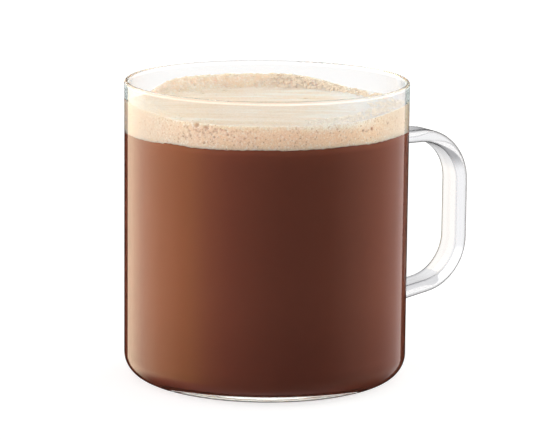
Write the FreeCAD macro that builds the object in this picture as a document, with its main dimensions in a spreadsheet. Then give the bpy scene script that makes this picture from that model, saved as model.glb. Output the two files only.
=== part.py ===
import FreeCAD, Part
import math
import os
import Sketcher
from FreeCAD import Placement, Rotation, Vector

# A blown glass mug filled with hot chocolate under a thick layer of milk foam.
# Origin: centre of the mug's underside.  +Z up, +X towards the handle.  Millimetres.

SIZES = [
    ("glass_radius", 44.0),        # outside of the straight wall
    ("glass_height", 92.7),        # underside to the top of the rim
    ("wall", 1.2),                 # blown wall
    ("glass_floor", 3.3),          # glass under the drink
    ("foot_corner", 7.2),          # outside rounding, wall to underside
    ("floor_corner", 6.5),         # inside rounding, wall to floor
    ("strap_top", 71.7),           # middle of the handle's upper run, above the underside
    ("strap_reach", 26.0),         # outside of the wall to the middle of the upright run
    ("strap_bend", 15.5),          # both bends, to the middle of the strap
    ("strap_low_bend", 38.1),      # height at which the lower bend begins
    ("strap_foot", 20.3),          # height at which the strap meets the wall again
    ("strap_width", 11.0),
    ("strap_thickness", 4.0),
    ("strap_blend", 1.0),          # where the hot strap was pressed on to the wall
    ("drink_level", 77.4),         # top of the chocolate
    ("foam_depth", 8.1),           # foam in the middle and at the front
    ("foam_bank", 10.7),           # foam where it stands highest against the wall
    ("foam_dish", 29.0),           # radius of the smooth middle
    ("bank_start", 6.0),           # the bank starts to rise this far before the axis
    ("bank_angle", 62.0),          # side on which it is highest, turned from +X
]

document = FreeCAD.newDocument("hot_chocolate")
sheet = document.addObject("Spreadsheet::Sheet", "sizes")
for row, (alias, value) in enumerate(SIZES, start=1):
    sheet.set("A%d" % row, alias)
    sheet.set("B%d" % row, str(value))
    sheet.setAlias("B%d" % row, alias)
document.recompute()
size = {alias: float(sheet.get(alias)) for alias, _ in SIZES}

START, END, CENTRE = 1, 2, 3
ORIGIN = (-1, 1)
UPRIGHT_AXIS = -2


def new_body(label):
    body = document.addObject("PartDesign::Body", label)
    body.Label = label
    body.Placement = Placement(Vector(0, 0, 0), Rotation())
    return body


def new_sketch(body, plane_role, name, offset=None):
    """A sketch flat on one of the body's own origin planes."""
    plane = next(f for f in body.Origin.OriginFeatures if f.Role == plane_role)
    sketch = body.newObject("Sketcher::SketchObject", name)
    sketch.AttachmentSupport = [(plane, "")]
    sketch.MapMode = "FlatFace"
    if offset is not None:
        sketch.AttachmentOffset = offset
    return sketch


def line(sketch, x0, y0, x1, y1):
    return sketch.addGeometry(Part.LineSegment(Vector(x0, y0, 0), Vector(x1, y1, 0)), False)


def arc(sketch, x, y, radius, start, end):
    """Counter-clockwise from start to end, in degrees."""
    circle = Part.Circle(Vector(x, y, 0), Vector(0, 0, 1), radius)
    return sketch.addGeometry(
        Part.ArcOfCircle(circle, math.radians(start), math.radians(end)), False)


def tie(sketch, kind, *where):
    sketch.addConstraint(Sketcher.Constraint(kind, *where))


def as_drawn(sketch, kind, where):
    """What a dimension measures on the curves as first drawn."""
    if kind == "Radius":
        return sketch.Geometry[where[0]].Radius
    gap = sketch.getPoint(*where[2:]) - sketch.getPoint(*where[:2])
    return gap.x if kind == "DistanceX" else gap.y


def measure(sketch, name, expression, kind, *where):
    """A named dimension that reads its value from the sheet."""
    value = as_drawn(sketch, kind, where)
    index = sketch.addConstraint(Sketcher.Constraint(kind, *where, value))
    sketch.renameConstraint(index, name)
    sketch.setExpression("Constraints." + name, expression)


def turn(body, sketch, name, kind="PartDesign::Revolution"):
    """A full turn of the sketch about the upright axis."""
    feature = body.newObject(kind, name)
    feature.Profile = sketch
    feature.ReferenceAxis = (sketch, ["V_Axis"])
    feature.Angle = 360.0
    return feature


def inner_radius():
    return size["glass_radius"] - size["wall"]


def make_mug():
    """One piece of glass: a straight cup with a round-edged strap for a handle."""
    body = new_body("mug")
    outer, inner = size["glass_radius"], inner_radius()
    height, rim = size["glass_height"], size["wall"] / 2
    foot, corner, floor = size["foot_corner"], size["floor_corner"], size["glass_floor"]

    cup = new_sketch(body, "XZ_Plane", "cup_section")
    under = line(cup, 0, 0, outer - foot, 0)
    heel = arc(cup, outer - foot, foot, foot, -90, 0)
    outside = line(cup, outer, foot, outer, height - rim)
    lip = arc(cup, outer - rim, height - rim, rim, 0, 180)
    inside = line(cup, inner, height - rim, inner, floor + corner)
    cove = arc(cup, inner - corner, floor + corner, corner, -90, 0)
    bottom = line(cup, inner - corner, floor, 0, floor)
    axis = line(cup, 0, floor, 0, 0)
    tie(cup, "Coincident", under, START, *ORIGIN)
    tie(cup, "Coincident", axis, END, *ORIGIN)
    tie(cup, "Coincident", bottom, END, axis, START)
    tie(cup, "PointOnObject", axis, START, UPRIGHT_AXIS)
    for flat in (under, bottom):
        tie(cup, "Horizontal", flat)
    for upright in (outside, inside):
        tie(cup, "Vertical", upright)
    for join in ((under, END, heel, START), (heel, END, outside, START), (outside, END, lip, START),
                 (lip, END, inside, START), (inside, END, cove, END), (cove, START, bottom, START)):
        tie(cup, "Tangent", *join)
    measure(cup, "foot_corner", "sizes.foot_corner", "Radius", heel)
    measure(cup, "floor_corner", "sizes.floor_corner", "Radius", cove)
    measure(cup, "outer", "sizes.glass_radius", "DistanceX", *ORIGIN, outside, START)
    measure(cup, "wall", "sizes.wall", "DistanceX", inside, START, outside, END)
    measure(cup, "rim", "sizes.glass_height - sizes.wall / 2", "DistanceY", *ORIGIN, lip, CENTRE)
    measure(cup, "floor", "sizes.glass_floor", "DistanceY", *ORIGIN, axis, START)
    turn(body, cup, "cup")
    document.recompute()

    # The strap's ends stop inside the wall's own thickness.
    buried = outer - 0.8 * size["wall"]
    upright, bend = outer + size["strap_reach"], size["strap_bend"]
    top, low, foot_z = size["strap_top"], size["strap_low_bend"], size["strap_foot"]
    # The straight lower run leaves the lower bend where it points at its foot.
    dx, dz = buried - (upright - bend), foot_z - low
    reach = math.hypot(dx, dz)
    leave = math.atan2(dz, dx) + math.acos(bend / reach)
    path = new_sketch(body, "XZ_Plane", "strap_path")
    upper = line(path, buried, top, upright - bend, top)
    high_bend = arc(path, upright - bend, top - bend, bend, 0, 90)
    grip = line(path, upright, top - bend, upright, low)
    low_bend = arc(path, upright - bend, low, bend, math.degrees(leave), 0)
    lower = line(path, upright - bend + bend * math.cos(leave), low + bend * math.sin(leave),
                 buried, foot_z)
    tie(path, "Horizontal", upper)
    tie(path, "Vertical", grip)
    for join in ((upper, END, high_bend, END), (high_bend, START, grip, START),
                 (grip, END, low_bend, END), (low_bend, START, lower, START)):
        tie(path, "Tangent", *join)
    measure(path, "high_bend", "sizes.strap_bend", "Radius", high_bend)
    measure(path, "low_bend", "sizes.strap_bend", "Radius", low_bend)
    measure(path, "top_end", "sizes.glass_radius - 0.8 * sizes.wall", "DistanceX", *ORIGIN,
            upper, START)
    measure(path, "foot_end", "sizes.glass_radius - 0.8 * sizes.wall", "DistanceX", *ORIGIN,
            lower, END)
    measure(path, "top", "sizes.strap_top", "DistanceY", *ORIGIN, upper, START)
    measure(path, "grip", "sizes.glass_radius + sizes.strap_reach", "DistanceX", *ORIGIN,
            grip, START)
    measure(path, "low", "sizes.strap_low_bend", "DistanceY", *ORIGIN, grip, END)
    measure(path, "foot", "sizes.strap_foot", "DistanceY", *ORIGIN, lower, END)

    half, edge = size["strap_width"] / 2, size["strap_thickness"] / 2
    section = new_sketch(body, "YZ_Plane", "strap_section",
                         Placement(Vector(0, 0, buried), Rotation()))
    section.setExpression(".AttachmentOffset.Base.z", "sizes.glass_radius - 0.8 * sizes.wall")
    under_face = line(section, edge - half, top - edge, half - edge, top - edge)
    far_edge = arc(section, half - edge, top, edge, -90, 90)
    over_face = line(section, half - edge, top + edge, edge - half, top + edge)
    near_edge = arc(section, edge - half, top, edge, 90, 270)
    tie(section, "Horizontal", under_face)
    tie(section, "Horizontal", over_face)
    for join in ((under_face, END, far_edge, START), (far_edge, END, over_face, START),
                 (over_face, END, near_edge, START), (near_edge, END, under_face, START)):
        tie(section, "Tangent", *join)
    measure(section, "edge", "sizes.strap_thickness / 2", "Radius", far_edge)
    measure(section, "level", "sizes.strap_top", "DistanceY", *ORIGIN, far_edge, CENTRE)
    measure(section, "half_width", "(sizes.strap_width - sizes.strap_thickness) / 2",
            "DistanceX", *ORIGIN, far_edge, CENTRE)
    measure(section, "other_half", "(sizes.strap_width - sizes.strap_thickness) / 2",
            "DistanceX", near_edge, CENTRE, *ORIGIN)
    strap = body.newObject("PartDesign::AdditivePipe", "strap")
    strap.Profile = section
    strap.Spine = (path, ["Edge%d" % (n + 1) for n in range(5)])
    strap.Mode = "Standard"
    document.recompute()

    # Nothing of the strap's slanting foot comes through into the cup.
    trim = new_sketch(body, "XZ_Plane", "bore_section")
    low_z, high_z = floor + corner, height - rim
    sill = line(trim, 0, low_z, inner, low_z)
    bore = line(trim, inner, low_z, inner, high_z)
    cover = line(trim, inner, high_z, 0, high_z)
    middle = line(trim, 0, high_z, 0, low_z)
    for join in ((sill, END, bore, START), (bore, END, cover, START), (cover, END, middle, START),
                 (middle, END, sill, START)):
        tie(trim, "Coincident", *join)
    tie(trim, "Horizontal", sill)
    tie(trim, "Horizontal", cover)
    tie(trim, "Vertical", bore)
    tie(trim, "PointOnObject", middle, START, UPRIGHT_AXIS)
    tie(trim, "PointOnObject", middle, END, UPRIGHT_AXIS)
    measure(trim, "bore", "sizes.glass_radius - sizes.wall", "DistanceX", *ORIGIN, bore, START)
    measure(trim, "sill", "sizes.glass_floor + sizes.floor_corner", "DistanceY", *ORIGIN,
            middle, END)
    measure(trim, "cover", "sizes.glass_height - sizes.wall / 2", "DistanceY", *ORIGIN,
            middle, START)
    cleared = turn(body, trim, "bore_trim", "PartDesign::Groove")
    document.recompute()

    # The glass flows out a little where each end of the strap meets the wall.
    roots = []
    for number, edge_curve in enumerate(cleared.Shape.Edges, start=1):
        points = edge_curve.discretize(9)
        on_wall = all(abs(math.hypot(p.x, p.y) - outer) < 0.01 for p in points)
        beside = all(p.x > 0 and abs(p.y) < half + 0.01 for p in points)
        if on_wall and beside and edge_curve.Length < 2 * size["strap_width"]:
            roots.append("Edge%d" % number)
    blend = body.newObject("PartDesign::Fillet", "strap_blend")
    blend.Base = (cleared, roots)
    blend.Radius = size["strap_blend"]
    blend.setExpression("Radius", "sizes.strap_blend")
    body.Tip = blend
    return body


def make_chocolate():
    """The drink, lying against the glass all round, up to where the foam begins."""
    body = new_body("chocolate")
    inner, corner = inner_radius(), size["floor_corner"]
    floor, level = size["glass_floor"], size["drink_level"]
    section = new_sketch(body, "XZ_Plane", "drink_section")
    bottom = line(section, 0, floor, inner - corner, floor)
    cove = arc(section, inner - corner, floor + corner, corner, -90, 0)
    side = line(section, inner, floor + corner, inner, level)
    top = line(section, inner, level, 0, level)
    axis = line(section, 0, level, 0, floor)
    tie(section, "Horizontal", bottom)
    tie(section, "Horizontal", top)
    tie(section, "Vertical", side)
    tie(section, "Tangent", bottom, END, cove, START)
    tie(section, "Tangent", cove, END, side, START)
    tie(section, "Coincident", side, END, top, START)
    tie(section, "Coincident", top, END, axis, START)
    tie(section, "Coincident", axis, END, bottom, START)
    tie(section, "PointOnObject", axis, START, UPRIGHT_AXIS)
    tie(section, "PointOnObject", axis, END, UPRIGHT_AXIS)
    measure(section, "cove", "sizes.floor_corner", "Radius", cove)
    measure(section, "side", "sizes.glass_radius - sizes.wall", "DistanceX", *ORIGIN, side, START)
    measure(section, "bottom", "sizes.glass_floor", "DistanceY", *ORIGIN, axis, END)
    measure(section, "level", "sizes.drink_level", "DistanceY", *ORIGIN, axis, START)
    body.Tip = turn(body, section, "drink")
    return body


def make_foam():
    """The foam layer right through to the glass, dished, and banked up on one side."""
    body = new_body("foam")
    inner, level, dish = inner_radius(), size["drink_level"], size["foam_dish"]
    middle, bank = level + size["foam_depth"], level + size["foam_bank"]
    section = new_sketch(body, "XZ_Plane", "foam_section")
    bottom = line(section, 0, level, inner, level)
    side = line(section, inner, level, inner, bank)
    slope = line(section, inner, bank, dish, middle)
    top = line(section, dish, middle, 0, middle)
    axis = line(section, 0, middle, 0, level)
    tie(section, "Horizontal", bottom)
    tie(section, "Horizontal", top)
    tie(section, "Vertical", side)
    for join in ((bottom, END, side, START), (side, END, slope, START), (slope, END, top, START),
                 (top, END, axis, START), (axis, END, bottom, START)):
        tie(section, "Coincident", *join)
    tie(section, "PointOnObject", axis, START, UPRIGHT_AXIS)
    tie(section, "PointOnObject", axis, END, UPRIGHT_AXIS)
    measure(section, "side", "sizes.glass_radius - sizes.wall", "DistanceX", *ORIGIN, side, START)
    measure(section, "dish", "sizes.foam_dish", "DistanceX", *ORIGIN, top, START)
    measure(section, "level", "sizes.drink_level", "DistanceY", *ORIGIN, axis, END)
    measure(section, "middle", "sizes.foam_depth", "DistanceY", axis, END, axis, START)
    measure(section, "bank", "sizes.foam_bank", "DistanceY", side, START, side, END)
    turn(body, section, "foam_layer")
    document.recompute()

    # Seen along the line through the highest point, the bank sinks to the middle's own level.
    far = size["glass_radius"]
    start = size["bank_start"]
    lower = new_sketch(body, "XZ_Plane", "bank_side",
                       Placement(Vector(0, 0, 0), Rotation(Vector(0, 1, 0), size["bank_angle"])))
    lower.setExpression(".AttachmentOffset.Rotation.Angle", "sizes.bank_angle * 1 deg")
    level_run = line(lower, -far, middle, -start, middle)
    rise = line(lower, -start, middle, far, bank)
    far_side = line(lower, far, bank, far, bank + 5)
    over = line(lower, far, bank + 5, -far, bank + 5)
    near_side = line(lower, -far, bank + 5, -far, middle)
    for join in ((level_run, END, rise, START), (rise, END, far_side, START),
                 (far_side, END, over, START), (over, END, near_side, START),
                 (near_side, END, level_run, START)):
        tie(lower, "Coincident", *join)
    for flat in (level_run, over):
        tie(lower, "Horizontal", flat)
    for upright in (far_side, near_side):
        tie(lower, "Vertical", upright)
    measure(lower, "near", "sizes.glass_radius", "DistanceX", level_run, START, *ORIGIN)
    measure(lower, "far", "sizes.glass_radius", "DistanceX", *ORIGIN, far_side, START)
    measure(lower, "start", "sizes.bank_start", "DistanceX", level_run, END, *ORIGIN)
    measure(lower, "middle", "sizes.drink_level + sizes.foam_depth", "DistanceY", *ORIGIN,
            level_run, START)
    measure(lower, "bank", "sizes.drink_level + sizes.foam_bank", "DistanceY", *ORIGIN,
            far_side, START)
    measure(lower, "over", "5", "DistanceY", far_side, START, far_side, END)
    trim = body.newObject("PartDesign::Pocket", "bank_trim")
    trim.Profile = lower
    trim.Type = "ThroughAll"
    trim.Midplane = True
    body.Tip = trim
    return body


def check_and_write(bodies):
    document.recompute()
    for item in document.Objects:
        if "Invalid" in item.State or "Error" in item.State:
            raise RuntimeError("%s did not build: %s" % (item.Label, item.State))
    os.makedirs("parts", exist_ok=True)
    for body in bodies:
        shape = body.Shape
        if shape.isNull() or not shape.isValid() or len(shape.Solids) != 1:
            raise RuntimeError("%s is not one valid solid" % body.Label)
        shape.exportStep("parts/%s.step" % body.Label)
        box = shape.BoundBox
        print("%-10s %9.1f mm3  x %.2f %.2f  y %.2f %.2f  z %.2f %.2f" % (
            body.Label, shape.Volume, box.XMin, box.XMax, box.YMin, box.YMax, box.ZMin, box.ZMax))


check_and_write([make_mug(), make_chocolate(), make_foam()])
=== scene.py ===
import bpy
import math
import numpy as np
from mathutils import Matrix, Vector


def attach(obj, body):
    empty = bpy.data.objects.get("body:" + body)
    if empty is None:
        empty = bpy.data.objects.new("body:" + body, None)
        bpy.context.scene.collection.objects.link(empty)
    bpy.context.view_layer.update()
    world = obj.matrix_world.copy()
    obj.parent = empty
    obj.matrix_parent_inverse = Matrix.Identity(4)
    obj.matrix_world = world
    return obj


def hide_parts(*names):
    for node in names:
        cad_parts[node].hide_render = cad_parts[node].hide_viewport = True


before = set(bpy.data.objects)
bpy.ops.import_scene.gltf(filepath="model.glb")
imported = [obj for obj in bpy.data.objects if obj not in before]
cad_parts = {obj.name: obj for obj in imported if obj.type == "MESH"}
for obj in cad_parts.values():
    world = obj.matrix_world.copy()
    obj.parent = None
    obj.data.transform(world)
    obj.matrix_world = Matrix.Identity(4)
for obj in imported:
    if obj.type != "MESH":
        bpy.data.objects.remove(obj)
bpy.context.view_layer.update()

# ---------------------------------------------------------------------------------------------
# The camera: a long lens a metre away, at the height of a seated person's eye and looking a
# little down over the rim, with the handle on the right and turned 30 degrees away.
LENS_MM = 198.8
LENS_PLACE = Vector((-0.4633, -0.8025, 0.2311))
LENS_AIM = Vector((0.00268, -0.00102, 0.04869))
LENS_LEAN = math.radians(0.574)

camera = bpy.data.objects.new("camera", bpy.data.cameras.new("camera"))
bpy.context.scene.collection.objects.link(camera)
camera.data.lens = LENS_MM
camera.data.sensor_width = 36.0
camera.data.clip_start, camera.data.clip_end = 0.01, 50.0
level = (LENS_AIM - LENS_PLACE).to_track_quat("-Z", "Y").to_matrix()
camera.matrix_world = Matrix.Translation(LENS_PLACE) @ (
    level @ Matrix.Rotation(LENS_LEAN, 3, "Z")).to_4x4()
bpy.context.scene.camera = camera
BACKWARD = Vector((LENS_PLACE.x, LENS_PLACE.y, 0)).normalized()
FORWARD = -BACKWARD
RIGHT = Vector((FORWARD.y, -FORWARD.x, 0))


# ---------------------------------------------------------------------------------------------
# The studio: a white table that runs out of sight, tall soft lights at both sides, a soft lamp
# overhead, and black cards behind the mug, which draw the dark edges of the glass together with
# the painted shade on the glass's edges.
class Wire:
    """A number that changes from place to place, so that sums of them read as arithmetic."""

    def __init__(self, finish, socket):
        self.finish, self.socket = finish, socket

    def sum_of(self, operation, *values, clamp=False):
        return self.finish.node("Math", dict(enumerate(values)), operation=operation,
                                use_clamp=clamp)

    def __add__(self, other):
        return self.sum_of("ADD", self, other)

    def __mul__(self, other):
        return self.sum_of("MULTIPLY", self, other)

    def __sub__(self, other):
        return self.sum_of("SUBTRACT", self, other)

    def __rsub__(self, other):
        return self.sum_of("SUBTRACT", other, self)

    def __pow__(self, other):
        return self.sum_of("POWER", self, other)

    __radd__, __rmul__ = __add__, __mul__

    def held(self):
        """The same number, kept between 0 and 1."""
        return self.sum_of("ADD", self, 0.0, clamp=True)

    def step(self, low, high):
        """0 up to low, 1 from high and a smooth rise between them."""
        return self.finish.node("MapRange", {"Value": self, "From Min": low, "From Max": high},
                                interpolation_type="SMOOTHSTEP")


class Finish:
    """The nodes of a material, or of the studio, and the few ways in which they are added."""

    def __init__(self, owner):
        self.material = bpy.data.materials.new(owner) if isinstance(owner, str) else owner
        self.material.use_nodes = True
        self.tree = self.material.node_tree
        self.tree.nodes.clear()

    def node(self, kind, inputs=None, output=0, stops=None, **settings):
        made = self.tree.nodes.new("ShaderNode" + kind)
        for name, value in settings.items():
            setattr(made, name, value)
        if stops:
            ramp = made.color_ramp.elements
            while len(ramp) < len(stops):
                ramp.new(1.0)
            for mark, (place, colour) in zip(ramp, stops):
                mark.position, mark.color = place, (*colour, 1.0)
        for name, value in (inputs or {}).items():
            if isinstance(value, Wire):
                self.tree.links.new(value.socket, made.inputs[name])
            else:
                made.inputs[name].default_value = value
        return Wire(self, made.outputs[output]) if made.outputs else None

    def mix(self, factor, first, second):
        """A blend of two colours: all of the first at 0, and all of the second at 1."""
        first, second = (c if isinstance(c, Wire) else (*c, 1.0) for c in (first, second))
        return self.node("Mix", {0: factor, 6: first, 7: second}, output=2, data_type="RGBA")

    def dot(self, first, second):
        return self.node("VectorMath", {0: first, 1: second}, output=1, operation="DOT_PRODUCT")

    def scaled(self, colour, amount):
        return self.node("VectorMath", {0: colour, "Scale": amount}, operation="SCALE")

    def plus(self, first, second):
        return self.node("VectorMath", {0: first, 1: second}, operation="ADD")

    def place(self):
        """Where on the mug this is, in metres from the middle of its underside."""
        return self.node("TexCoord", output=3)

    def noise(self, scale, detail=2.0):
        """Cloudy noise, with scale patches to the metre."""
        return self.node("TexNoise", {"Vector": self.place(), "Scale": scale, "Detail": detail})

    def done(self, surface):
        self.node("OutputMaterial", {"Surface": surface})
        return self.material


def new_piece(name, vertices, faces, material):
    mesh = bpy.data.meshes.new(name)
    mesh.from_pydata([tuple(v) for v in vertices], [], [tuple(f) for f in faces])
    mesh.materials.append(material)
    mesh.shade_smooth()
    piece = bpy.data.objects.new(name, mesh)
    bpy.context.scene.collection.objects.link(piece)
    return piece


TABLE_SPAN, TABLE_TOP = 6.0, -0.0001
table_white = Finish("table_white")
table_top = table_white.node("BsdfPrincipled", {
    "Base Color": table_white.mix(table_white.noise(40.0), (0.50, 0.50, 0.50), (0.53, 0.53, 0.53)),
    "Roughness": 0.9, "Specular IOR Level": 0.0,
    "Emission Color": (1, 1, 1, 1), "Emission Strength": 0.72})
half = TABLE_SPAN / 2
table = new_piece("table", [(x, y, TABLE_TOP) for x, y in ((-half, -half), (half, -half),
                                                           (half, half), (-half, half))],
                  [(0, 1, 2, 3)], table_white.done(table_top))
table.visible_glossy = table.visible_diffuse = table.visible_transmission = False

# Brightness of the tall lights by how far round from straight ahead they stand, in degrees, as
# mirrored in the glass; white is 1. At the left a cream one stands behind the mug and an amber one
# beside the lens, and at the right there is a pink one.
LEFT_LIGHT = ((28.0, 0.0), (29.0, 1.9), (43, 2.50), (54, 2.45), (70, 1.7), (85, 0.8), (110, 0.0))
AMBER_LIGHT = ((60, 0.0), (85, 0.9), (100, 1.1), (115, 1.1), (133, 0.3), (150, 0.0))
RIGHT_LIGHT = ((31.5, 0.0), (33, 1.10), (41, 0.90), (51, 0.60), (75, 0.28), (108, 0.15), (128, 0.0))
LEFT_TINT, AMBER_TINT, RIGHT_TINT = (1.0, 0.84, 0.60), (1.0, 0.62, 0.12), (1.0, 0.86, 0.82)
BRIGHTEST = 3.0

bpy.context.scene.world = bpy.data.worlds.new("studio")
studio = Finish(bpy.context.scene.world)
looking = studio.node("TexCoord", output=0)
upward = studio.dot(looking, (0, 0, 1))
turn = studio.node("Math", {0: studio.dot(looking, tuple(RIGHT)),
                            1: studio.dot(looking, tuple(FORWARD))},
                   operation="ARCTAN2") * (1 / math.pi)


def tall_light(turned, marks, tint):
    """A tall light whose brightness blends from each mark, in degrees round, to the next."""
    return studio.node("ValToRGB", {0: turned},
                       stops=[(away / 180, [bright * part / BRIGHTEST for part in tint])
                              for away, bright in marks])


def soft_lamp(away, up, tight, brightness, tint=(1, 1, 1)):
    """A round soft lamp, away degrees round to the right from straight ahead, up degrees high."""
    a, e = math.radians(away), math.radians(up)
    aim = (FORWARD * math.cos(a) + RIGHT * math.sin(a)) * math.cos(e) + Vector((0, 0, math.sin(e)))
    facing = studio.node("Math", {0: studio.dot(looking, tuple(aim)), 1: 0.0}, operation="MAXIMUM")
    return studio.scaled(tuple(brightness * t for t in tint), facing ** tight)


in_height = upward.step(-0.62, -0.32) * (1 - upward.step(0.75, 0.95))
mirrored = studio.plus(tall_light(turn * -1.0, LEFT_LIGHT, LEFT_TINT),
                       tall_light(turn * -1.0, AMBER_LIGHT, AMBER_TINT))
mirrored = studio.scaled(studio.plus(mirrored, tall_light(turn, RIGHT_LIGHT, RIGHT_TINT)),
                         in_height * BRIGHTEST)

# The lamps that light the drink and the foam: overhead, left, right and behind the lens.
OVERHEAD, *ROUND_ABOUT = ((150, 82, 3, 0.85, (1, 1, 1)), (-80, 0, 8, 8.2, (1, 0.93, 0.88)),
                          (52, 0, 8, 8.5, (1, 1.05, 0.97)), (180, 0, 4, 0.83, (1, 1, 1.05)))
lighting = soft_lamp(*OVERHEAD)
for lamp in ROUND_ABOUT:
    lighting = studio.plus(lighting, soft_lamp(*lamp))

# The studio shows each kind of ray a brightness of its own: what the glass mirrors, what lights
# the drink and the foam, and what lies beyond the glass. Seen straight on, that last is white, and
# greyer where the glass bends the view aside. Turned back inside the glass it is grey, with the
# black cards straight ahead, and thick glass that turns the light to and fro gathers it and glows.
WHITE, BENT_ASIDE, BLACK_CARD = (1, 1, 1), (0.66, 0.66, 0.67), (0.12, 0.11, 0.11)
TURNED_DOWN, TURNED_UP, GATHERED = (0.45, 0.45, 0.46), (0.80, 0.80, 0.81), (2.0, 2.2, 2.1)
LIGHTS_TURNED_BACK = (0.28, 0.28, 0.28)
ray = {name: studio.node("LightPath", output=name) for name in
       ("Is Camera Ray", "Is Transmission Ray", "Is Glossy Ray", "Diffuse Depth", "Glossy Depth")}
through = ray["Is Transmission Ray"]
seen_direct = (ray["Is Camera Ray"] + through * (1 - ray["Diffuse Depth"].held())).held()
bounced = (ray["Is Glossy Ray"] * (1 - through)).held()
along = studio.dot(looking, tuple(FORWARD))
straight = (along.sum_of("ABSOLUTE", along).step(0.55, 0.84) + ray["Is Camera Ray"]).held()
bent_light = studio.mix(straight, BENT_ASIDE, WHITE)
going_up = upward.step(0.0, 0.12)
turned_back = studio.plus(
    studio.scaled(LIGHTS_TURNED_BACK, studio.node("RGBToBW", {0: mirrored})),
    studio.mix(along.step(0.80, 0.92) * (1 - going_up * 0.8),
               studio.mix(going_up, TURNED_DOWN, TURNED_UP), BLACK_CARD))
many_times, once = ray["Glossy Depth"].step(2.4, 2.6), ray["Glossy Depth"].held()
backdrop = studio.mix(many_times, studio.mix(once, bent_light, turned_back), GATHERED)
shown = studio.mix(seen_direct, studio.mix(bounced, lighting, mirrored), backdrop)
studio.node("OutputWorld", {"Surface": studio.node("Background", {"Color": shown})})
bpy.context.scene.view_settings.view_transform = "Standard"
# Light runs to and fro many times inside the glass floor before it comes out.
bpy.context.scene.cycles.max_bounces = 32
bpy.context.scene.cycles.glossy_bounces = 24
bpy.context.scene.cycles.transmission_bounces = 24

# ---------------------------------------------------------------------------------------------
# The mug: thin clear borosilicate glass, blown in a mould with its rim melted round, and its
# strap handle pressed on hot. Its colour is painted darker where its edges turn away from the eye,
# a painted shade for the dark surroundings that they mirror, and a thin band under the lip glows
# with painted light.
HANDLE_STARTS, FOOT_ENDS, DRINK_ENDS = (0.0448, 0.0456), (0.0007, 0.0015), (0.0765, 0.0790)
GLOW_FROM, GLOW_TO = (0.0914, 0.0917), (0.0919, 0.0922)
CLEAR, STRAP_CLEAR, STRAP_TURNS_SHADE = (1.0, 1.0, 1.0), (0.94, 0.94, 0.95), (0.27, 0.22, 0.24)
WALL_EDGE_SHADE, STRAP_EDGE_SHADE = (0.12, 0.12, 0.13), (0.05, 0.05, 0.05)
GLASS_INDEX = 1.47

clear_glass = Finish("clear_glass")
outward, upright = (clear_glass.node("SeparateXYZ", {0: clear_glass.place()}, output=way)
                    for way in (0, 2))
faces_way = clear_glass.node("TexCoord", output=1)
facing_aside = clear_glass.node("SeparateXYZ", {0: faces_way}, output=1)
edge_on = clear_glass.node("LayerWeight", {"Blend": 0.5}, output=1)
on_handle, on_foot = outward.step(*HANDLE_STARTS), 1 - upright.step(*FOOT_ENDS)
round_edge = facing_aside.sum_of("ABSOLUTE", facing_aside).step(0.02, 0.15)
wall_edge = (edge_on ** 4) * (1 - on_handle) * (1 - upright.step(*DRINK_ENDS) * 0.9)
strap_edge = edge_on.step(0.22, 0.70) * round_edge * on_handle
foot_edge = edge_on.step(0.60, 0.82) * on_foot
# The strap's colour is painted darker where it is seen mirrored in the wall, so its image there is
# faint, and where light runs round inside it: painted shade.
image_in_wall = clear_glass.node("LightPath", output="Is Glossy Ray") * (
    1 - clear_glass.node("LightPath", output="Transmission Depth").held())
many_turns = clear_glass.node("LightPath", output="Glossy Depth").step(2.4, 2.6)
clear = clear_glass.mix(on_handle, CLEAR, clear_glass.mix(many_turns, STRAP_CLEAR, STRAP_TURNS_SHADE))
dark = clear_glass.mix((on_handle + on_foot).held(), WALL_EDGE_SHADE, STRAP_EDGE_SHADE)
# Painted shade: the glass's colour darkens at its edges, at the foot and on the strap.
painted_edge_shade = (wall_edge + strap_edge + foot_edge + on_handle * image_in_wall).held()
# Painted light: a thin band under the lip glows.
painted_glow_under_lip = upright.step(*GLOW_FROM) * (1 - upright.step(*GLOW_TO))
body_of_glass = clear_glass.node("BsdfPrincipled", {
    "Base Color": clear_glass.mix(painted_edge_shade, clear, dark),
    "Transmission Weight": 1.0, "IOR": GLASS_INDEX, "Roughness": 0.0,
    "Emission Color": clear_glass.mix(painted_glow_under_lip, (0.0, 0.0, 0.0), (0.95, 0.93, 0.90)),
    "Emission Strength": 0.15})
clear_glass.done(clear_glass.node("MixShader", {
    0: clear_glass.node("LightPath", output="Is Shadow Ray"), 1: body_of_glass,
    2: clear_glass.node("BsdfTransparent", {"Color": (0.97, 0.97, 0.97, 1)})}))
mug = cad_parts["mug"]
for slot in mug.material_slots:
    slot.material = clear_glass.material

# ---------------------------------------------------------------------------------------------
# The chocolate: cocoa and milk, opaque, poured to within a finger of the rim, and painted a little
# darker low down, a painted shade. It wets the glass all round. Glass bends light more than the
# drink does, so the inside of the glass mirrors at a low angle.
WALL_MM, OUTER_MM, COVE_MM, FLOOR_MM = 1.2, 44.0, 6.5, 3.3
LEVEL_MM = 77.4
INTO_GLASS_MM = 0.12
BORE_MM = OUTER_MM - WALL_MM + INTO_GLASS_MM
MM = 0.001
chance = np.random.default_rng(11)


def ups_and_downs(places, apart, count=28):
    """Smooth random heights, mostly within 1 of 0, at each of the places, apart mm from crest to
    crest."""
    aims = chance.normal(size=(places.shape[-1], count))
    aims *= 2 * math.pi / (np.linalg.norm(aims, axis=0) * apart * chance.uniform(0.7, 1.5, count))
    waves = np.sin(places @ aims + chance.uniform(0, 2 * math.pi, count))
    return waves.sum(axis=-1) / math.sqrt(2 * count)


def compass(around):
    """Unit vectors round the upright axis, with how far each points away and to the right."""
    turns = np.linspace(0, 2 * math.pi, around, endpoint=False)
    ring = np.stack([np.cos(turns), np.sin(turns)], axis=-1)
    return ring, ring @ np.array(FORWARD)[:2], ring @ np.array(RIGHT)[:2]


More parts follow.
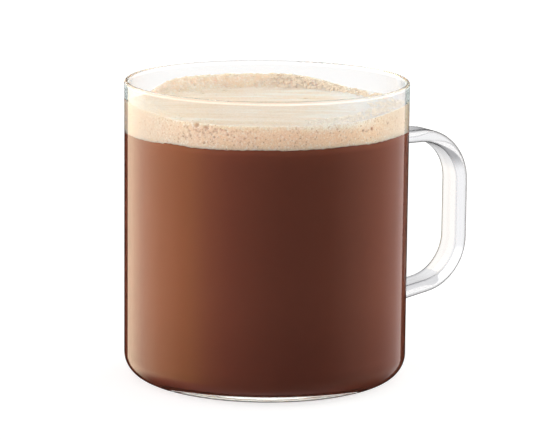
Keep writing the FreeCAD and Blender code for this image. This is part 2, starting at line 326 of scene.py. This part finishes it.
def drink_edge(around):
    """Height at which the chocolate meets the foam at the glass, all the way round. The draws
    are handed back, so the drink and the foam get one and the same edge."""
    chance_was = chance.bit_generator.state
    ring, away, right = compass(around)
    edge = LEVEL_MM - 0.25 - 0.85 * away + 0.25 * right + 0.55 * np.clip(right, 0, 1)
    edge += 0.35 * np.exp(-((right + 0.66) / 0.11) ** 2) * (away < 0)
    edge += 0.10 * ups_and_downs(ring * OUTER_MM, 2.6)
    edge += 0.12 * ups_and_downs(ring * OUTER_MM, 14.0)
    chance.bit_generator.state = chance_was
    return edge


def ringed(rings):
    """The points of rings of equally many, in metres, and the faces from each ring to the next."""
    count, around = rings.shape[:2]
    index = np.arange(count * around).reshape(count, around)
    low, high = index[:-1], index[1:]
    quads = np.stack([low, np.roll(low, -1, 1), np.roll(high, -1, 1), high], axis=-1)
    return rings.reshape(-1, 3) * MM, quads.reshape(-1, 4)


def stacked(profile, around):
    """Rings at each (radius, height) of a profile, where a height may vary round the ring."""
    ring = compass(around)[0]
    return np.stack([np.concatenate([ring * r, np.broadcast_to(z, around)[:, None]], axis=1)
                     for r, z in profile])


cove = COVE_MM + INTO_GLASS_MM
bottom_mm = FLOOR_MM - INTO_GLASS_MM
AROUND = 360
top_edge = drink_edge(AROUND) + 0.3
drink_line = [(r, bottom_mm) for r in np.linspace(0.01, BORE_MM - cove, 12)]
drink_line += [(BORE_MM - cove + cove * math.sin(t), bottom_mm + cove - cove * math.cos(t))
               for t in np.linspace(0, math.pi / 2, 24)[1:]]
drink_line += [(BORE_MM, bottom_mm + cove + (top_edge - bottom_mm - cove) * part)
               for part in np.linspace(0, 1, 30)[1:]]
drink_line += [(r, LEVEL_MM - 1.0 + (top_edge - LEVEL_MM + 1.0) * (r / BORE_MM) ** 8)
               for r in np.linspace(BORE_MM, 0.01, 14)[1:]]
vertices, faces = ringed(stacked(drink_line, AROUND))

DRINK_INDEX = 1.345
cocoa = Finish("cocoa")
cocoa_cloud = cocoa.noise(30.0, detail=3.0)
# Painted shade: the drink's colour darkens towards the bottom.
painted_shade_low = 1 - cocoa.node("SeparateXYZ", {0: cocoa.place()}, output=2).step(0.000, 0.036)
milky = cocoa.mix(cocoa_cloud, (0.32, 0.104, 0.067), (0.34, 0.112, 0.071))
drink = cocoa.node("BsdfPrincipled", {
    "Base Color": cocoa.mix(painted_shade_low, milky, (0.255, 0.077, 0.050)),
    "Roughness": 0.6, "Specular IOR Level": 0.0})
cocoa.done(cocoa.node("MixShader", {
    0: cocoa.node("Fresnel", {"IOR": DRINK_INDEX / GLASS_INDEX}), 1: drink,
    2: cocoa.node("BsdfGlossy", {"Color": (1, 1, 1, 1), "Roughness": 0.0})}))
chocolate = new_piece("chocolate_drink", vertices, faces, cocoa.material)
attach(chocolate, "root")
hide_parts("chocolate")

# ---------------------------------------------------------------------------------------------
# The foam: steamed milk, coloured by the cocoa it was poured through. Its middle is smooth and
# creamy, and a drier bank full of bubbles climbs the glass at the back.
FOAM_MM = BORE_MM + 0.03
MIDDLE_MM, DISH_MM, BANK_MM = 85.1, 34.0, 3.2
FOAM_AROUND, SIDE_RINGS, TOP_RINGS = 780, 30, 88


def eased(value, low, high):
    part = np.clip((value - low) / (high - low), 0, 1)
    return part * part * (3 - 2 * part)


def foam_height(flat):
    """Height of the foam over a place on the level, in mm, and how dry it is from 0 to 1."""
    away, right = flat @ np.array(FORWARD)[:2], flat @ np.array(RIGHT)[:2]
    out = np.linalg.norm(flat, axis=-1)
    behind = np.degrees(np.arctan2(right, away))
    ragged = out + 0.9 * ups_and_downs(flat, 11.0) + 0.4 * ups_and_downs(flat, 3.0)
    ring = eased(ragged, DISH_MM - 0.5, 41.5)
    back = eased(behind, -64, -40) * (1 - eased(behind, 6, 46))
    beside = eased(abs(behind), 70, 98) * (1 - eased(abs(behind), 112, 150))
    height = MIDDLE_MM + ring * (BANK_MM * back + 1.7 * beside)
    height += 0.25 * np.exp((out - FOAM_MM) / 0.7)
    dry = eased(ragged, DISH_MM - 1.5, DISH_MM + 1.5) * eased(away, -4, 14)
    dry = np.maximum(dry, 0.6 * eased(ragged, 30, 38) * eased(right, 4, 22) * eased(-away, 4, 20))
    height += dry * (0.16 * ups_and_downs(flat, 3.4) + 0.12 * ups_and_downs(flat, 1.7))
    stroked = np.stack([away, right * 0.16], axis=-1)
    height += (1 - dry) * (0.09 * ups_and_downs(stroked, 3.0) + 0.12 * ups_and_downs(flat, 10.0))
    return height, dry


ring, ring_away, ring_right = compass(FOAM_AROUND)
low = drink_edge(FOAM_AROUND)
radii = np.concatenate([np.linspace(FOAM_MM, 12.0, TOP_RINGS - 10),
                        np.linspace(12.0, 0.02, 11)[1:]])
top = stacked([(r, 0.0) for r in radii], FOAM_AROUND)
top[..., 2], top_dry = foam_height(top[..., :2])
side = stacked([(FOAM_MM, low + (top[0, :, 2] - low) * part)
                for part in np.linspace(0, 1, SIDE_RINGS + 1)[:-1]], FOAM_AROUND)
under = stacked([(r, low - 0.2) for r in (0.02, 20.0, 36.0, 42.0)], FOAM_AROUND)

# Bubbles that have burst leave pits, in the top and against the glass. Each is (right, away,
# radius) on the top or (degrees round from the front, height, radius) on the side.
top_pits = [(-20.3, 22.0, 0.9), (-13.4, 27.0, 0.9), (-8.2, 17.5, 1.0), (11.8, 12.0, 1.0),
            (-3.5, 20.0, 0.6), (4.0, 24.0, 0.7), (-16.0, 18.0, 0.6), (21.0, 22.0, 0.6)]
for _ in range(240):
    turn_at, out = chance.uniform(0, 2 * math.pi), FOAM_MM * chance.uniform(0.76, 0.985)
    top_pits.append((out * math.cos(turn_at), out * math.sin(turn_at), chance.uniform(0.2, 0.42)))
for _ in range(50):
    turn_at, out = chance.uniform(0, 2 * math.pi), 30 * chance.uniform(0.05, 1) ** 0.5
    top_pits.append((out * math.cos(turn_at), out * math.sin(turn_at), chance.uniform(0.2, 0.4)))
top_cavity = np.zeros(top.shape[:2])
top_away, top_right = top[..., :2] @ np.array(FORWARD)[:2], top[..., :2] @ np.array(RIGHT)[:2]
for right_by, away_by, radius in top_pits:
    depth = 1 - ((top_right - right_by) ** 2 + (top_away - away_by) ** 2) / radius ** 2
    bowl = np.sqrt(np.clip(depth, 0, 1))
    top[..., 2] -= radius * 0.9 * bowl
    top_cavity = np.maximum(top_cavity, bowl)

side_pits = [(-28.9, 84.9, 0.95), (-24.7, 84.1, 0.62), (-31.6, 81.2, 0.48), (29, 83.8, 0.42),
             (41.6, 82.6, 0.45), (43.5, 82.2, 0.42), (46.4, 82.7, 0.52), (56.8, 83.4, 0.45)]
for _ in range(60):
    side_pits.append((chance.normal(-22, 10), chance.uniform(79.5, 84.0),
                      chance.uniform(0.18, 0.40)))
for _ in range(420):
    side_pits.append((chance.uniform(-180, 180), 79 + 7 * chance.uniform(0, 1) ** 0.7,
                      chance.uniform(0.14, 0.27)))
side_cavity = np.zeros(side.shape[:2])
bearing = np.arctan2(ring_right, -ring_away)
inward = np.zeros(side.shape[:2])
for turn_at, pit_height, radius in side_pits:
    swing = (bearing - math.radians(turn_at) + math.pi) % (2 * math.pi) - math.pi
    depth = 1 - ((swing * FOAM_MM) ** 2 + (side[..., 2] - pit_height) ** 2) / radius ** 2
    bowl = np.sqrt(np.clip(depth, 0, 1))
    inward = np.maximum(inward, radius * bowl)
    side_cavity = np.maximum(side_cavity, bowl)
side[..., :2] *= (1 - inward / FOAM_MM)[..., None]

nothing_under, nothing_beside = np.zeros(under.shape[:2]), np.zeros(side.shape[:2])
cavity = np.concatenate([nothing_under, side_cavity, top_cavity])
dryness = np.concatenate([nothing_under, nothing_beside, top_dry])
at_glass = np.concatenate([nothing_under + 1, nothing_beside + 1, np.zeros(top.shape[:2])])
vertices, faces = ringed(np.concatenate([under, side, top]))

# A place on the foam is told by how far away from the lens's place and how far to its right it
# lies. Both ways are fixed to the mug, so the colours stay where they are in every view.
milk_foam = Finish("milk_foam")
place = milk_foam.place()
height_at = milk_foam.node("SeparateXYZ", {0: place}, output=2)
away_at, right_at = (milk_foam.dot(place, tuple(way)) for way in (FORWARD, RIGHT))
on_side, dry_here, painted_pit_shade = (milk_foam.node("Attribute", {}, output=2, attribute_name=name)
                             for name in ("on_side", "dryness", "cavity"))
on_top, in_dish = 1 - on_side, (1 - on_side) * (1 - dry_here)
at_back = away_at.step(-0.014, 0.004)
cloud = milk_foam.noise(90.0, detail=4.0)
fine = milk_foam.noise(900.0, detail=2.0)
clusters = milk_foam.noise(170.0, detail=1.0).step(0.36, 0.56)
brushed = milk_foam.node("CombineXYZ", {0: away_at, 1: right_at * 0.10, 2: height_at})
streak = milk_foam.node("TexNoise", {"Vector": brushed, "Scale": 210.0, "Detail": 2.0})
cells, grain, pores = (milk_foam.node("TexVoronoi", {"Vector": place, "Scale": across},
                                      output=0, feature="F1") for across in (1100, 2400, 900))
cream = milk_foam.mix(cloud, (0.92, 0.73, 0.56), (0.97, 0.80, 0.65))
tan = milk_foam.mix(cloud, (0.91, 0.71, 0.51), (0.96, 0.79, 0.61))
# Painted highlight: a band high on the side, at the front right.
painted_highlight_band = (height_at.step(0.0825, 0.0842) * right_at.step(0.004, 0.014)
          * (1 - right_at.step(0.026, 0.036)))
# Low on the side: cocoa in the foam, and in front also painted shade.
low_down = 1 - (height_at + (cloud - 0.5) * 0.003).step(0.0806, 0.0850)
in_front = (right_at + (cloud - 0.5) * 0.01).step(-0.022, -0.004) * (
    1 - right_at.step(0.024, 0.038) * 0.25)
# Painted shade at the foam's far left and right, where it turns away from the lens.
painted_shade_aside = (1 - right_at.step(-0.0415, -0.026)
             + right_at.step(0.030, 0.0415) * (on_side * 0.7 + 0.1)).held()

# Each tint lies over the ones before it, as strongly as the number beside it says.
shade = cream
for strength, tint in (
        # On top: brown and white strokes in the dish and a tan bank at the back; the right side is
        # white, paler wet foam that is partly a painted highlight, and painted light makes the
        # bank's front paler against the shade of its bumps.
        (streak.step(0.50, 0.62) * in_dish * 0.8, (0.88, 0.68, 0.48)),
        ((1 - streak.step(0.38, 0.46)) * in_dish * 0.7, (1.0, 0.91, 0.80)),
        (dry_here * at_back * (0.8 - right_at.step(0.022, 0.034) * 0.6), tan),
        (on_top * right_at.step(0.014, 0.033) * 0.95, (1.0, 0.99, 0.96)),
        (on_top * dry_here * (1 - at_back) * 0.9, (1.0, 0.96, 0.90)),
        # Against the glass: a painted highlight high up at the front right, cocoa low down that is
        # partly painted shade in front, and painted shade to the left and the right.
        (on_side * painted_highlight_band * 0.75, (1.0, 0.95, 0.86)),
        (on_side * low_down * (0.25 + in_front * 0.75), (0.94, 0.725, 0.54)),
        (on_side * (1 - right_at.step(-0.034, -0.012)) * 0.8, (0.74, 0.71, 0.63)),
        (on_side * right_at.step(0.030, 0.040) * 0.6, (0.88, 0.77, 0.66)),
        # Bubbles: pale films, brown gaps between them, open pores darkened with painted shade, and
        # bright flecks. The last two are painted shade at both far sides and inside the pits.
        (cells.step(0.50, 0.22) * (0.30 + dry_here * 0.2 + on_side * 0.20), (1.0, 0.95, 0.88)),
        (grain.step(0.42, 0.66) * (0.25 + on_side * 0.15), (0.74, 0.52, 0.36)),
        (pores.step(0.26, 0.12) * clusters * on_side * 0.95, (0.58, 0.40, 0.27)),
        (fine.step(0.60, 0.75) * 0.25, (1.0, 0.97, 0.92)),
        (painted_shade_aside * 0.75, (0.72, 0.62, 0.52)),
        (painted_pit_shade * (0.30 + on_side * 0.35), (0.52, 0.34, 0.22))):
    shade = milk_foam.mix(strength, shade, tint)
milk_foam.done(milk_foam.node("BsdfPrincipled", {
    "Base Color": shade, "Roughness": 0.6, "Specular IOR Level": 0.0,
    "Subsurface Weight": 1.0, "Subsurface Radius": (1.0, 0.85, 0.7), "Subsurface Scale": 0.003}))
foam = new_piece("milk_foam", vertices, faces, milk_foam.material)
for name, values in (("cavity", cavity), ("dryness", dryness), ("on_side", at_glass)):
    foam.data.attributes.new(name, "FLOAT", "POINT").data.foreach_set("value", values.ravel())
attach(foam, "root")
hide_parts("foam")

# Whole bubbles stand up out of the drier foam, the largest at the back and on the right, where
# they are wet and pale, a paleness that is partly a painted highlight. Each row is a count, the
# degrees round from straight behind, the share of the radius from which they start, and the
# smallest and largest radius in mm.
BUBBLES = ((260, 2, 62, 0.82, 0.40, 0.80), (330, 80, 160, 0.74, 0.28, 0.60),
           (300, -180, 180, 0.80, 0.18, 0.36))
BUBBLE_AROUND, BUBBLE_RINGS, SUNK = 10, 7, 0.30
bubbles = []
for count, first, last, inner, small, large in BUBBLES:
    for _ in range(count):
        behind = math.radians(chance.uniform(first, last))
        out = FOAM_MM * chance.uniform(inner, 0.975)
        bubbles.append((out * math.sin(behind), out * math.cos(behind),
                        chance.uniform(small, large)))
polar = np.linspace(0, math.pi, BUBBLE_RINGS)
polar[0], polar[-1] = 0.02, math.pi - 0.02
balls = []
for right_by, away_by, radius in bubbles:
    middle = np.array(RIGHT)[:2] * right_by + np.array(FORWARD)[:2] * away_by
    distance = ((top[..., :2] - middle) ** 2).sum(axis=-1)
    nearest = np.unravel_index(np.argmin(distance), distance.shape)
    ball = stacked([(radius * math.sin(t), -radius * math.cos(t)) for t in polar], BUBBLE_AROUND)
    balls.append(ball + np.array([*middle, top[nearest][2] - radius * SUNK]))
ball_faces = ringed(balls[0])[1]
ball_size = balls[0].shape[0] * balls[0].shape[1]

thin_skin = Finish("bubble_skin")
skin_at = thin_skin.place()
# Paler skin at the front right: wet bubbles, and partly a painted highlight.
wet_and_highlight = thin_skin.dot(skin_at, tuple(RIGHT)).step(0.002, 0.018) * (
    1 - thin_skin.dot(skin_at, tuple(FORWARD)).step(0.004, 0.020))
dry_skin = thin_skin.mix(thin_skin.noise(700.0), (0.84, 0.68, 0.50), (0.97, 0.86, 0.72))
thin_skin.done(thin_skin.node("BsdfPrincipled", {
    "Base Color": thin_skin.mix(wet_and_highlight * 0.85, dry_skin, (1.0, 0.93, 0.82)),
    "Roughness": 0.5, "Specular IOR Level": 0.1}))
bubble_skin = new_piece("foam_bubbles", np.concatenate([b.reshape(-1, 3) for b in balls]) * MM,
                        np.concatenate([ball_faces + n * ball_size for n in range(len(balls))]),
                        thin_skin.material)
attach(bubble_skin, "root")

# A soft lamp beside the lens that lights only the foam, which is far paler than the drink.
fill = bpy.data.objects.new("foam_fill", bpy.data.lights.new("foam_fill", "AREA"))
bpy.context.scene.collection.objects.link(fill)
fill.data.energy, fill.data.size, fill.data.color = 4.1, 0.5, (1.0, 0.96, 0.95)
fill.location = BACKWARD * 0.90 + RIGHT * 0.32 + Vector((0, 0, 0.25))
fill.rotation_euler = (Vector((0, 0, 0.08)) - fill.location).to_track_quat("-Z", "Y").to_euler()
fill.visible_glossy = fill.visible_transmission = False
foam_only = bpy.data.collections.new("foam_only")
foam_only.objects.link(foam)
foam_only.objects.link(bubble_skin)
fill.light_linking.receiver_collection = foam_only
